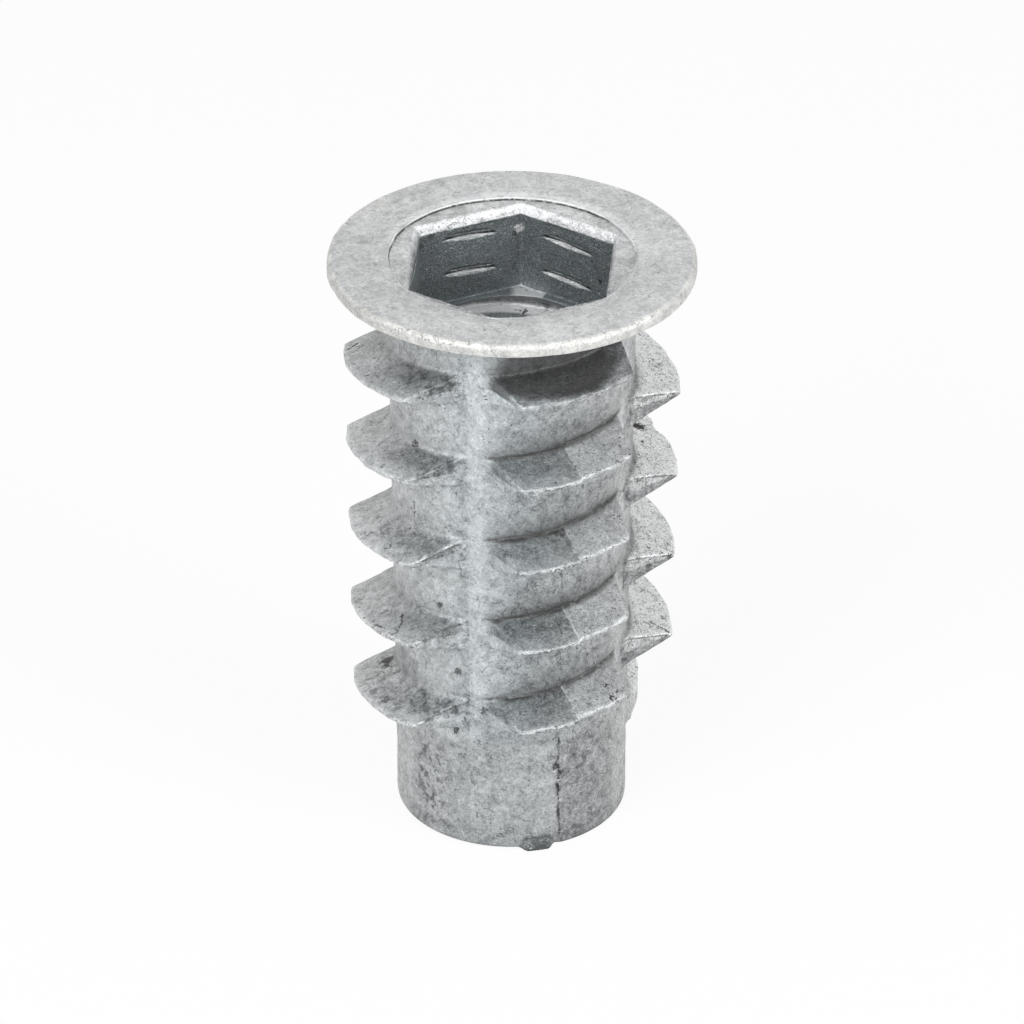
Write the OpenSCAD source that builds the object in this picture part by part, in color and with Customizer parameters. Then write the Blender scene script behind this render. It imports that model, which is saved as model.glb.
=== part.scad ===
// Threaded insert: a flanged, die-cast nut that is driven into wood with a hexagon key.
// One solid. The origin is the centre of the pilot's end face, and +Z runs up to the flange.

/* [Overall] */
// Length from the pilot's end to the top of the flange
length = 20; // [16.5:0.5:25]
// Diameter of the flange
flange_d = 11.8; // [9.8:0.1:16]

/* [Flange] */
// Height of the rim, with its bevel
rim_h = 0.43; // [0.3:0.01:0.8]
// Bevel round the upper edge of the rim
rim_bevel = 0.2; // [0.05:0.01:0.28]
// Height of the coned underside, from the rim down to the core
under_cone_h = 0.8; // [0.3:0.05:1.2]
// Diameter of the shallow recess in the top of the flange
recess_d = 7.85; // [7.8:0.05:9]
// Depth of the shallow recess
recess_depth = 0.11; // [0.05:0.01:0.3]
// Depth of the flat that the trimmed gate leaves on the rim
gate_flat_depth = 0.065; // [0.02:0.005:0.15]
// Direction of the gate flat
gate_az = 202.5; // [200:0.5:250]

/* [Drive socket] */
// Width across the flats of the hexagon socket
hex_af = 6.2; // [5.2:0.05:6.3]
// Depth of the socket, from the top of the flange to its floor
hex_depth = 3.03; // [2:0.01:4]
// Chamfer along the six edges of the socket's mouth
hex_chamfer = 0.32; // [0.1:0.01:0.4]
// Direction of one corner of the hexagon
hex_az = 25.5; // [0:0.5:60]

/* [Tapped bore] */
// Diameter of the bore, at the crests of its thread
bore_d = 5.1; // [4.2:0.05:5.4]
// Chamfer at the bore's mouth in the socket's floor
mouth_chamfer = 0.35; // [0.1:0.01:0.4]
// Chamfer at the bore's lower end
end_chamfer = 0.45; // [0.1:0.01:0.6]
// Pitch of the bore's thread
tap_pitch = 1.27; // [0.8:0.01:1.5]
// Diameter of the tap, which grazes the socket's flats on its way in
tap_d = 6.5; // [5:0.05:6.9]
// Depth of the tap's mark at the direction tap_az
tap_first_drop = 0.94; // [0.6:0.01:2]
// Direction at which that depth is taken
tap_az = 85.5; // [0:0.5:360]

/* [Core and pilot] */
// Diameter of the core under the flange
core_top_d = 7.93; // [7.8:0.01:8.6]
// Diameter of the smooth pilot
pilot_d = 7.5; // [6.6:0.05:7.8]
// Height of the smooth pilot, up to where the core's taper starts
pilot_h = 2.4; // [1:0.1:4]
// Radius round the pilot's lower edge
pilot_edge_r = 0.3; // [0.1:0.05:0.4]
// Width of the casting nub left on the pilot's lower edge
nub_w = 1.1; // [0.5:0.1:2]
// Direction of the nub
nub_az = 282.5; // [0:0.5:360]

/* [Body thread] */
// Pitch of the right-hand thread
pitch = 3; // [2.5:0.05:3.6]
// Outer diameter of the uppermost thread segment
thread_top_d = 10.8; // [9:0.1:11.6]
// Outer diameter of the lowest thread segments
thread_low_d = 10.33; // [8.8:0.01:11.2]
// Thickness of a segment where it meets the core
root_w = 1.05; // [0.6:0.05:1.4]
// Width of the land along the crest
crest_w = 0.12; // [0.05:0.01:0.3]
// Depth of the uppermost crest below the top of the flange, at its parting line
first_crest_drop = 2.43; // [2.1:0.01:4]
// Direction of the uppermost segment's parting line
parting_az = 294.5; // [0:0.5:360]
// Half width of a front or back segment at the core
narrow_root = 2.22; // [1.6:0.01:2.5]
// Half width of a front or back segment at the crest
narrow_crest = 1.94; // [1.4:0.01:2.4]
// Half width of a side segment at the core
wide_root = 2.61; // [1.8:0.01:2.8]
// Half width of a side segment at the crest
wide_crest = 2.42; // [1.6:0.01:2.7]

/* [Hidden] */

$fn = 96;
SEGMENTS_PER_TURN = 4;
STATIONS = 12;       // spans along one thread segment
SINK = 0.5;          // how far a segment's foot is buried in the core
FADE_START = 20;     // the last segment loses height from this far past its parting line ...
FADE_END = -25;      // ... down to nothing this far before it
LEAST_FADE = -0.25;  // and then dives under the core's surface
MARK_SWEEP = 50;     // sweep of the cutter for one tap mark
OVERRUN = 1;         // how far a cutter runs past the face that it opens
ZINC = [0.72, 0.73, 0.74];

rim_r = flange_d / 2;
rim_foot_z = length - rim_h;
core_top_r = core_top_d / 2;
core_top_z = rim_foot_z - under_cone_h;
pilot_r = pilot_d / 2;
recess_z = length - recess_depth;
floor_z = length - hex_depth;
segment_step = pitch / SEGMENTS_PER_TURN;
first_crest_z = length - first_crest_drop;
segment_count = 1 + floor((first_crest_z - root_w / 2 - pilot_h) / segment_step);
low_crest_z = first_crest_z - segment_step * (segment_count - 2);

// Linear blend from a to b
function mix(a, b, t) = a + (b - a) * t;

// Core radius at a height: the pilot is straight and the core tapers up to the flange
function core_r(z) =
    z <= pilot_h ? pilot_r : mix(pilot_r, core_top_r, (z - pilot_h) / (core_top_z - pilot_h));

// Crest radius at a height
function crest_r(z) =
    mix(thread_low_d, thread_top_d, (z - low_crest_z) / (first_crest_z - low_crest_z)) / 2;

// Height of the helix at an azimuth, counted on from the uppermost parting line
function helix_z(az) = first_crest_z + pitch * (az - parting_az) / 360;

// Share of its full height that the last segment keeps, this far past its parting line
function fade(turned) = max(LEAST_FADE, min(1, (turned - FADE_END) / (FADE_START - FADE_END)));

// Point at a radius, an azimuth and the helix's height there
function on_helix(r, az) = [r * cos(az), r * sin(az), helix_z(az)];

// One station of a segment: four corners on one upright plane, with the feet buried in the core.
// across is the station's place over the segment's width, from -1 to 1.
function station(az, root_half, crest_half, across, is_last) =
    let (
        root_r = core_r(helix_z(az)),
        full_r = crest_r(helix_z(az)),
        root_turn = asin(across * root_half / root_r),
        crest_turn = asin(across * crest_half / full_r),
        root = on_helix(root_r, az + root_turn),
        flank = on_helix(full_r, az + crest_turn) - root,
        kept = is_last ? fade(root_turn) : 1,
        buried = -SINK / norm(flank),
        crest = root + kept * flank,
        foot = root + buried * flank,
        crest_half_w = mix(root_w, crest_w, kept) / 2,
        foot_half_w = mix(root_w, crest_w, buried) / 2
    ) [
        foot + [0, 0, foot_half_w],
        crest + [0, 0, crest_half_w],
        crest - [0, 0, crest_half_w],
        foot - [0, 0, foot_half_w]
    ];

// Skin between neighbouring stations, and the two flat ends
function skin(spans) = concat(
    [[0, 1, 2, 3]],
    [for (i = [0 : spans - 1], j = [0 : 3])
        let (a = 4 * i + j, b = 4 * i + (j + 1) % 4)
        each [[a, a + 4, b + 4], [a, b + 4, b]]],
    [[for (j = [3 : -1 : 0]) 4 * spans + j]]
);

// One segment of the interrupted helical thread, with flat, slightly drafted ends
module thread_segment(index) {
    is_narrow = index % 2 == 0;
    root_half = is_narrow ? narrow_root : wide_root;
    crest_half = is_narrow ? narrow_crest : wide_crest;
    az = parting_az - 360 / SEGMENTS_PER_TURN * index;
    points = [for (i = [0 : STATIONS])
        each station(az, root_half, crest_half, 2 * i / STATIONS - 1, index == segment_count - 1)];
    polyhedron(points, skin(STATIONS), convexity = 4);
}

// Flange, core and pilot in one revolve
module turned_body() {
    rotate_extrude() {
        polygon([
            [0, 0], [pilot_r - pilot_edge_r, 0], [pilot_r, pilot_edge_r], [pilot_r, pilot_h],
            [core_top_r, core_top_z], [rim_r, rim_foot_z], [rim_r, length - rim_bevel],
            [rim_r - rim_bevel, length], [0, length]
        ]);
        translate([pilot_r - pilot_edge_r, pilot_edge_r])
            circle(r = pilot_edge_r);
    }
}

// Casting nub that squares off a short stretch of the rounded lower edge
module nub() {
    nub_inset = 0.02;
    rotate([0, 0, nub_az])
        translate([pilot_r - nub_inset - nub_w / 2, 0, 0])
            cylinder(d = nub_w, h = pilot_edge_r + nub_inset);
}

// Shallow recess and the hexagon socket with its chamfered mouth
module socket() {
    corner_r = hex_af / 2 / cos(30);
    corner_chamfer = hex_chamfer / cos(30);
    translate([0, 0, recess_z])
        cylinder(d = recess_d, h = OVERRUN);
    rotate([0, 0, hex_az]) {
        translate([0, 0, floor_z])
            cylinder(r = corner_r, h = hex_depth + OVERRUN, $fn = 6);
        translate([0, 0, recess_z - hex_chamfer])
            cylinder(r1 = corner_r, r2 = corner_r + 2 * corner_chamfer, h = 2 * hex_chamfer, $fn = 6);
    }
}

// Bore at the thread's crests, chamfered at both ends
module bore() {
    translate([0, 0, -OVERRUN])
        cylinder(d = bore_d, h = length);
    translate([0, 0, floor_z - mouth_chamfer])
        cylinder(d1 = bore_d, d2 = bore_d + 4 * mouth_chamfer, h = 2 * mouth_chamfer);
    translate([0, 0, -end_chamfer])
        cylinder(d1 = bore_d + 4 * end_chamfer, d2 = bore_d, h = 2 * end_chamfer);
}

// Shallow marks where the tap's teeth grazed the socket's flats, a sixth of a pitch apart
module tap_marks() {
    tooth_flat = tap_pitch / 8;
    reach = tap_d / 2 - bore_d / 2;
    tooth_foot = tooth_flat / 2 + reach * tan(30);
    for (flat = [0 : 5], turn = [0 : 1]) {
        az = hex_az + 30 + 60 * flat;
        drop = tap_first_drop - tap_pitch * ((az - tap_az) / 360 - turn);
        if (drop > recess_depth + hex_chamfer + tooth_flat && drop < hex_depth - tooth_flat)
            translate([0, 0, length - drop])
                rotate([0, 0, az - MARK_SWEEP / 2])
                    rotate_extrude(angle = MARK_SWEEP)
                        translate([bore_d / 2, 0])
                            polygon([
                                [0, -tooth_foot], [reach, -tooth_flat / 2],
                                [reach, tooth_flat / 2], [0, tooth_foot]
                            ]);
    }
}

// Flat on the rim where the casting gate was trimmed off
module gate_flat() {
    rotate([0, 0, gate_az])
        translate([rim_r - gate_flat_depth, -rim_r, rim_foot_z - under_cone_h / 2])
            cube([OVERRUN, flange_d, length]);
}

module insert() {
    color(ZINC)
        difference() {
            union() {
                turned_body();
                nub();
                for (index = [0 : segment_count - 1]) thread_segment(index);
            }
            socket();
            bore();
            tap_marks();
            gate_flat();
        }
}

insert();
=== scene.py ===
"""Looks of the threaded insert: one closed mesh of a raw zinc casting, on a white floor in soft light.

The mesh repeats the CAD solid's sizes and adds what casting and tapping leave on the real part:
rounded edges, steps where the slides of the die met, pits, a torn seam and the bore's thread.
Lengths in the shape code are millimetres and angles are degrees. The mesh is written in metres.
"""
import math

import bpy
import numpy as np
from mathutils import Matrix, Vector


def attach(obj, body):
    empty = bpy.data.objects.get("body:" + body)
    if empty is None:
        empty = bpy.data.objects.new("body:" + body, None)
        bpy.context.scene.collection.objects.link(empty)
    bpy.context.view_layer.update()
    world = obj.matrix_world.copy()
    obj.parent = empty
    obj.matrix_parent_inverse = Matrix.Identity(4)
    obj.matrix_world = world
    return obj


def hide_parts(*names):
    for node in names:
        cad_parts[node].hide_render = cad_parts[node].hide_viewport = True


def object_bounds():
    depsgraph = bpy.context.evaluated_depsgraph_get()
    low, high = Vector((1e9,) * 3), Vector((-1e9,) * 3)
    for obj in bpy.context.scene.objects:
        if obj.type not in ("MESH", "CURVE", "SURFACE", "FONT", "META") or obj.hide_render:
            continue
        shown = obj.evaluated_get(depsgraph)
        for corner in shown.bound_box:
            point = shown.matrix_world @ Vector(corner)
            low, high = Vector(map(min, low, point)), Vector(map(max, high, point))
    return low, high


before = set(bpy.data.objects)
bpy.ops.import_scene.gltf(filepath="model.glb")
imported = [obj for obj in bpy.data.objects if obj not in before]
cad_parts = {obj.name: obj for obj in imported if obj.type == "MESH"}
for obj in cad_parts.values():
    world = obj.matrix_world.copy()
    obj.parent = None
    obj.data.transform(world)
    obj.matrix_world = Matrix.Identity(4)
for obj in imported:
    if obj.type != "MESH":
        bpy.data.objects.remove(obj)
cad_low, cad_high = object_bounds()

MM = 0.001
LENGTH = (cad_high.z - cad_low.z) / MM

# Flange. Its radius leaves room for the skin's waves inside the CAD box.
RIM_R = 5.893
RIM_FOOT_Z = LENGTH - 0.43
CORE_TOP_Z = RIM_FOOT_Z - 0.8
RIM_BEVEL = 0.2
GATE_FLAT_AZ, GATE_FLAT_DEPTH = 202.5, 0.065
WORN_FLAT_AZ, WORN_FLAT_DEPTH = 42.5, 0.05
RECESS_R = 3.925
RECESS_Z = LENGTH - 0.11

# Drive socket
HEX_HALF_AF = 3.1
HEX_CHAMFER, HEX_EDGE, HEX_FRONT_WEAR = 0.32, 0.16, 0.23
HEX_CORNER_AZ = 25.5
HEX_TOP_Z = RECESS_Z - HEX_CHAMFER
HEX_FLOOR_Z = LENGTH - 3.03
SOCKET_R = 3.66

# Bore and the tap that cut its thread
BORE_R = 2.55
MOUTH_R = 2.9
END_CHAMFER = 0.45
TAP_R = 3.25
WIDEST_BORE_R = 3.4
TAP_PITCH = 1.27
TAP_FLAT = TAP_PITCH / 16
TAP_AZ = 85.5
TAP_Z = LENGTH - 0.94
FIRST_TURN_Z = 15.9

# Core and pilot
CORE_TOP_R = 3.965
PILOT_R = 3.75
PILOT_H = 2.4
LEFT_EDGE_R, RIGHT_EDGE_R = 0.2, 0.1
NUB_AZ, NUB_HALF, NUB_OUT = 283.0, 9.5, 0.16

# Body thread
PITCH = 3.0
CREST_TOP_R, CREST_LOW_R = 5.4, 5.165
ROOT_HALF, CREST_HALF = 0.525, 0.06
FIRST_CREST_Z = LENGTH - 2.43
FIRST_AZ = 294.5
LAST_INDEX = 19
LOW_CREST_Z = FIRST_CREST_Z - PITCH / 4 * (LAST_INDEX - 1)
NARROW_ROOT, NARROW_CREST = 2.22, 1.94
WIDE_ROOT, WIDE_CREST = 2.61, 2.42
FADE_FROM, FADE_TO = 20.0, -25.0
THREAD_LOW_Z, THREAD_HIGH_Z = 2.25, 18.5

# The quarters of the thread. The back and front ones are centred on the parting lines.
BACK, LEFT, FRONT, RIGHT = range(4)
FIRST_QUARTER_AZ = FIRST_AZ - 90 * FRONT

SEED = 11


# ---------------------------------------------------------------- small maths

def mix(a, b, t):
    return a + (b - a) * t


def smoothstep(low, high, x):
    t = np.clip((x - low) / (high - low), 0, 1)
    return t * t * (3 - 2 * t)


def window(x, rise_from, rise_to, fall_from, fall_to):
    """1 between rise_to and fall_from, and 0 outside rise_from and fall_to."""
    return smoothstep(rise_from, rise_to, x) * smoothstep(fall_to, fall_from, x)


def soft_min(a, b, k):
    t = np.clip(0.5 + 0.5 * (b - a) / k, 0, 1)
    return mix(b, a, t) - k * t * (1 - t)


def soft_max(a, b, k):
    return -soft_min(-a, -b, k)


def bell(x, width):
    return np.exp(-((x / width) ** 2))


def apart(az, centre):
    """Signed angle from centre to az, between -180 and 180."""
    return (az - centre + 180) % 360 - 180


class Noise:
    """Smooth repeating noise of about unit spread, over points in millimetres."""

    SIDE = 32

    def __init__(self, seed):
        self.grid = np.random.default_rng(seed).standard_normal((self.SIDE,) * 3)

    def __call__(self, x, y, z, wavelength):
        where = np.stack(np.broadcast_arrays(x, y, z), -1) / wavelength
        cell = np.floor(where).astype(int)
        t = where - cell
        t = t * t * (3 - 2 * t)
        total = 0
        for corner in np.ndindex(2, 2, 2):
            weight = np.prod(np.where(corner, t, 1 - t), -1)
            i, j, k = np.moveaxis((cell + corner) % self.SIDE, -1, 0)
            total = total + weight * self.grid[i, j, k]
        return total * 1.5


noise = Noise(SEED)


def xy(r, az):
    a = np.radians(az)
    return r * np.cos(a), r * np.sin(a)


def xyz(r, az, z):
    """Cartesian points from cylindrical ones, with the last axis over x, y and z."""
    return np.stack(np.broadcast_arrays(*xy(r, az), z), -1)


# ---------------------------------------------------------------- columns of the mesh

# The columns of a quarter follow the edges of the segments there: ALONG runs from the middle over the
# crest, STEPS down the leaning end plane and GAP over the land to the next segment.
ALONG = (0.004, 0.012, 0.03, 0.07, 0.13, 0.2, 0.27, 0.34, 0.41,
         0.48, 0.55, 0.62, 0.69, 0.76, 0.83, 0.9, 0.95, 0.98)
STEPS = 10
GAP = (0.12, 0.4, 0.7)

half = [(a, 1.0, 0.0) for a in ALONG]
half += [(1.0, 1 - i / STEPS, 0.0) for i in range(STEPS + 1)]
half += [(1 - g, 0.0, g) for g in GAP]
quarter_columns = [(0.0, 0.0, -1.0)]
quarter_columns += [(-a, f, -g) for a, f, g in reversed(half)]
quarter_columns += [(0.0, 0.0, 0.0)] + half
COLUMNS = 4 * len(quarter_columns)
SHARE, HEIGHT, TO_NEXT = np.tile(np.array(quarter_columns), (4, 1)).T
QUARTER = np.repeat(np.arange(4), len(quarter_columns))
EVEN_AZ = FIRST_QUARTER_AZ - 45 + 360 * np.arange(COLUMNS) / COLUMNS


def laterals(quarter):
    """Half widths at root and crest of the segments in a quarter."""
    narrow = quarter % 2 == 0
    return np.where(narrow, NARROW_ROOT, WIDE_ROOT), np.where(narrow, NARROW_CREST, WIDE_CREST)


def core_r(z):
    return mix(PILOT_R, CORE_TOP_R, np.clip((z - PILOT_H) / (CORE_TOP_Z - PILOT_H), 0, 1))


def crest_r(z):
    return mix(CREST_LOW_R, CREST_TOP_R, (z - LOW_CREST_Z) / (FIRST_CREST_Z - LOW_CREST_Z))


def column_az(z):
    """Azimuth of each column where it passes the heights z."""
    root, crest = laterals(QUARTER)
    r = mix(core_r(z), crest_r(z), HEIGHT)
    edge = np.degrees(np.arcsin(mix(root, crest, HEIGHT) / r))
    return FIRST_QUARTER_AZ + 90 * QUARTER + SHARE * edge + 45 * TO_NEXT


# ---------------------------------------------------------------- shape of the outside

PITS = (
    # azimuth, height, radius and depth
    (312.0, 4.55, 0.09, 0.09),
    (314.5, 4.2, 0.08, 0.08),
    (318.0, 3.95, 0.07, 0.07),
    (256.5, 5.3, 0.07, 0.07),
    (242.3, 4.45, 0.11, 0.08),
    (242.0, 6.5, 0.09, 0.05),
    (228.6, 2.85, 0.12, 0.05),
    (230.5, 2.5, 0.14, 0.06),
    (227.5, 2.1, 0.10, 0.05),
    (233.0, 1.7, 0.12, 0.04),
    (292.3, 2.95, 0.10, 0.09),
    (293.4, 2.6, 0.08, 0.08),
    (226.0, 9.4, 0.07, 0.08),
)
NOTCH_INDEX, NOTCH_AZ, NOTCH_WIDTH, NOTCH_DEPTH = 7, 25.5, 4.5, 0.22


def helix_z(az, turn):
    return FIRST_CREST_Z + PITCH * ((az - FIRST_AZ) / 360 + turn)


def on_thread(az, z):
    """Quarter, degrees from its middle, number of the segment, its crest's height, and whether it's there."""
    quarter = np.clip(np.floor((az - FIRST_QUARTER_AZ + 45) / 90), BACK, RIGHT).astype(int)
    offset = az - FIRST_QUARTER_AZ - 90 * quarter
    turn = np.round((z - helix_z(az, 0)) / PITCH)
    index = FRONT - quarter - 4 * turn
    return quarter, offset, index, helix_z(az, turn), (index >= 0) & (index <= LAST_INDEX)


def kept_height(index, offset):
    """Share of its height that a segment has. The last one fades out."""
    return np.where(index == LAST_INDEX, np.clip((offset - FADE_TO) / (FADE_FROM - FADE_TO), 0, 1), 1.0)


def die_step(index):
    """Height of the step between the halves that the two slides of the die made of a segment."""
    return 0.035 + 0.015 * np.sin(2.4 * index)


def which_slide(quarter, offset):
    """1 on halves of the front and back segments that the die's right slide made, and -1 on the others.

    It is 0 in the quarters at the sides, which one slide makes alone.
    """
    side = np.where(quarter == FRONT, 1, np.where(quarter == BACK, -1, 0))
    return side * (2 * smoothstep(-0.25, 0.25, offset) - 1)


def segment_r(az, z):
    """Radius of the segment nearest to a point, and whether one is there."""
    quarter, offset, index, crest_z, exists = on_thread(az, z)
    x, y = xy(4.5, az)
    core = core_r(z)
    full = crest_r(crest_z) - core

    # The two slides of the die don't quite line up, and the lower segments on the left lie lower.
    step = die_step(index) * which_slide(quarter, offset + 0.35 * noise(x, y, z, 0.13))
    step = step * (index > 0) - 0.1 * (quarter == LEFT) * smoothstep(3, 13, index)
    ragged = 0.010 * noise(x, y, z, 0.55) + 0.007 * noise(x + 9, y, z, 0.2)
    from_crest = np.abs(z - crest_z - step + ragged)
    flank = core + full * (ROOT_HALF - from_crest) / (ROOT_HALF - CREST_HALF)

    # Crests are uneven, stand a little further out on the right, and one has a notch.
    kept = kept_height(index, offset)
    worn = 0.012 * noise(x, y, crest_z, 0.8) + 0.012 * noise(x, y + 5, crest_z, 0.25) - 0.01
    worn = worn + 0.06 * (quarter == RIGHT)
    worn = worn - NOTCH_DEPTH * (index == NOTCH_INDEX) * bell(apart(az, NOTCH_AZ), NOTCH_WIDTH)
    land = soft_min(flank, core + full * kept + worn, 0.07)

    # The ends are planes that lean inwards.
    root_half, crest_half = laterals(quarter)
    lean = (crest_half - root_half) / full
    end = (root_half - lean * core) / (np.sin(np.radians(np.abs(offset))) - lean)
    end_round = np.choose(quarter, (0.24, 0.09, 0.24, 0.04))
    land = soft_min(land, end + 0.025 * noise(x + 3, y, z, 0.4), end_round)
    return land, exists & (kept > 0)


def outside_r(az, z):
    """Radius of the casting between the pilot's edge and the flange. az runs on past 360."""
    quarter, offset, _, _, exists = on_thread(az, z)
    x, y = xy(4.5, az)
    core = core_r(z)
    land, standing = segment_r(az, z)
    root_round = np.where(quarter % 2 == 0, 0.08, mix(0.4, 0.22, smoothstep(37, 45, np.abs(offset))))
    r = np.where(standing, soft_max(core, land, root_round), core)

    # Thin flash stands along the two parting lines, and the skin is a little wavy.
    bare = 1 - np.clip((land - core) / 0.3, 0, 1) * exists
    flash_height = (0.022 + 0.012 * noise(x, y, z, 0.6)) * (quarter % 2 == 0)
    flash = bell(np.radians(offset) * core, 0.045) * flash_height
    wave = 0.010 * noise(x, y, z, 1.7) + 0.005 * noise(x, y, z + 7, 0.45)
    r = r + flash * bare + wave

    # On the pilot the front parting line has torn into a ragged groove.
    seam = np.radians(az - FIRST_AZ) * PILOT_R + 0.035 + 0.035 * noise(0, 0, z, 0.3)
    torn = bell(seam, 0.035) * smoothstep(0.35, 0.6, z) * (1 - smoothstep(3.9, 4.3, z))
    r = r - torn * bare * np.clip(0.08 + 0.06 * noise(1, 0, z, 0.22), 0.02, 0.2)
    for pit_az, pit_z, size, depth in PITS:
        away = np.hypot(np.radians(apart(az, pit_az)) * core, z - pit_z)
        r = r - depth * bell(away, size) * bare
    return r + nub_out(az, z)


def nub_share(az):
    """1 on the nub at the pilot's bottom edge, and 0 beside it."""
    return smoothstep(NUB_HALF, NUB_HALF - 4.5, np.abs(apart(az, NUB_AZ)))


def nub_out(az, z):
    """How far the nub stands out."""
    return NUB_OUT * nub_share(az) * (1 - smoothstep(0.15, 0.5, z))


def on_rim(r, az):
    """Radius near the rim, cut back by the trimmed gate and by a worn stretch."""
    for flat_az, depth in ((GATE_FLAT_AZ, GATE_FLAT_DEPTH), (WORN_FLAT_AZ, WORN_FLAT_DEPTH)):
        turned = np.radians(np.clip(apart(az, flat_az), -60, 60))
        r = soft_min(r, (RIM_R - depth) / np.cos(turned), 0.01)
    return r


# ---------------------------------------------------------------- shape of the inside

# The socket's columns are even ones, shifted so that some run down the hexagon's corners.
near_corner = np.array([np.abs(apart(EVEN_AZ, HEX_CORNER_AZ + 60 * k)).argmin() for k in range(6)])
order = np.argsort(near_corner)
corner_at = near_corner[order]
corner_to = EVEN_AZ[corner_at] - apart(EVEN_AZ[corner_at], HEX_CORNER_AZ + 60 * order)
HEX_AZ = np.interp(
    np.arange(COLUMNS),
    np.concatenate(([corner_at[-1] - COLUMNS], corner_at, [corner_at[0] + COLUMNS])),
    np.concatenate(([corner_to[-1] - 360], corner_to, [corner_to[0] + 360])),
)
BORE_AZ = EVEN_AZ[::4]


def hexagon_r(az, half_af):
    return half_af / np.cos(np.radians((az - HEX_CORNER_AZ) % 60 - 30))


def tap_z(az, turn):
    return TAP_Z + TAP_PITCH * ((az - TAP_AZ) / 360 + turn)


def above_tap(az, z):
    """Height above the middle of the nearest turn of the tap."""
    return z - tap_z(az, np.round((z - tap_z(az, 0)) / TAP_PITCH))


def socket_wall_r(az, z):
    """Radius of the socket's flats, with the marks that the tips of the tap's teeth left in them."""
    x, y = xy(3.3, az)
    wave = 0.008 * noise(x, y, 0.4 * z, 0.8) + 0.005 * noise(x, y, z, 0.25)
    up = above_tap(az, z)
    mark = TAP_R - np.maximum(0, np.abs(up) - 0.015) / math.tan(math.radians(27))
    mark = mark + 0.012 * noise(x, y, z, 0.3)
    scratch = TAP_R - 0.06 - np.maximum(0, np.abs(up - 0.14) - 0.008) / math.tan(math.radians(15))
    return soft_max(hexagon_r(az, HEX_HALF_AF) + wave, np.maximum(mark, scratch), 0.012)


def bore_wall_r(az, z):
    """Radius of the tapped bore with its chamfered ends."""
    depth = (np.abs(above_tap(az, z)) - TAP_FLAT) / math.tan(math.radians(30))
    tapped = np.clip(TAP_R - depth, BORE_R, TAP_R)
    cut = np.maximum(tapped, MOUTH_R - (HEX_FLOOR_Z - z))
    cut = np.maximum(cut, BORE_R + END_CHAMFER - z)
    return np.minimum(cut, BORE_R + END_CHAMFER + 0.05 + z)


# ---------------------------------------------------------------- building the mesh

points = []
faces = []


def add(grid):
    """Adds a grid of points, shape (rows, columns, 3), and gives their numbers."""
    first = sum(len(p) for p in points)
    points.append(grid.reshape(-1, 3))
    return first + np.arange(grid.shape[0] * grid.shape[1]).reshape(grid.shape[:2])


def join(before, after):
    """Quads between two rings of as many points, which face out of the metal."""
    quads = np.stack((before, np.roll(before, -1), np.roll(after, -1), after), -1)
    faces.extend(quads.tolist())


def ring(r, az, z):
    return add(xyz(r, az, z)[None])[0]


def extend(last, r, az, z):
    """Adds a ring and joins it to the last one."""
    this = ring(r, az, z)
    join(last, this)
    return this


def add_triangles(*corners):
    """Adds triangles, one for each place in three lists of points."""
    for a, b, c in corners:
        faces.extend(np.stack((a, b, c), -1).tolist())


def helical_grid(low_z, high_z, level, pitch, rows, az_at, r_at, downward):
    """Rows that follow a thread from one level height to another, closed round the axis.

    Each quad is split along the diagonal that lies nearer the true surface. Gives the first and last ring.
    """
    az = az_at(np.full(1, (low_z + high_z) / 2))
    turns = np.arange(math.floor((low_z - level(az, 0).max()) / pitch) - 1,
                      math.ceil((high_z - level(az, 0).min()) / pitch) + 2)
    offsets = (turns[:, None] * pitch + rows[None, :]).reshape(-1, 1)
    z = np.clip(level(az, 0) + offsets, low_z, high_z)
    for _ in range(3):
        az = az_at(z) + 0 * z
        z = np.clip(level(az, 0) + offsets, low_z, high_z)
    az = az_at(z) + 0 * z
    shift = len(rows)
    if downward:
        az, z, shift = az[::-1], z[::-1], -shift
    ids = add(xyz(r_at(az, z), az, z))

    closing = np.clip(np.arange(len(z)) + shift, 0, len(z) - 1)
    ids = np.concatenate((ids, ids[closing, :1]), 1)
    az = np.concatenate((az, az[closing, :1] + 360), 1)
    z = np.concatenate((z, z[closing, :1]), 1)
    r = np.linalg.norm(np.concatenate(points)[ids][..., :2], axis=-1)

    def middle(a):
        return (a[:-1, :-1] + a[:-1, 1:] + a[1:, :-1] + a[1:, 1:]) / 4

    true_r = r_at(middle(az), middle(z))
    rising = np.abs((r[:-1, :-1] + r[1:, 1:]) / 2 - true_r)
    falling = np.abs((r[:-1, 1:] + r[1:, :-1]) / 2 - true_r)
    a, b, c, d = ids[:-1, :-1], ids[:-1, 1:], ids[1:, 1:], ids[1:, :-1]
    use = (rising <= falling)[..., None]
    first = np.where(use, np.stack((a, b, c), -1), np.stack((a, b, d), -1))
    second = np.where(use, np.stack((a, c, d), -1), np.stack((b, c, d), -1))
    faces.extend(first.reshape(-1, 3).tolist())
    faces.extend(second.reshape(-1, 3).tolist())
    return ids[0, :-1], ids[-1, :-1]


def both_ways(upper, pitch):
    """Heights of rows over one pitch, from those above the middle of a turn."""
    upper = np.array(upper)
    return np.concatenate((-upper[::-1], (0.0,), upper, (pitch / 2,)))


# The body: rows lie closer together where the profile bends
flank_rows = mix(CREST_HALF, ROOT_HALF, np.arange(1, STEPS + 1) / STEPS)
thread_rows = (0.03, CREST_HALF, *flank_rows, 0.56, 0.61, 0.68, 0.8, 0.97, 1.15, 1.33)
first_ring, last = helical_grid(
    THREAD_LOW_Z, THREAD_HIGH_Z, helix_z, PITCH, both_ways(thread_rows, PITCH), column_az, outside_r, False)

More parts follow.
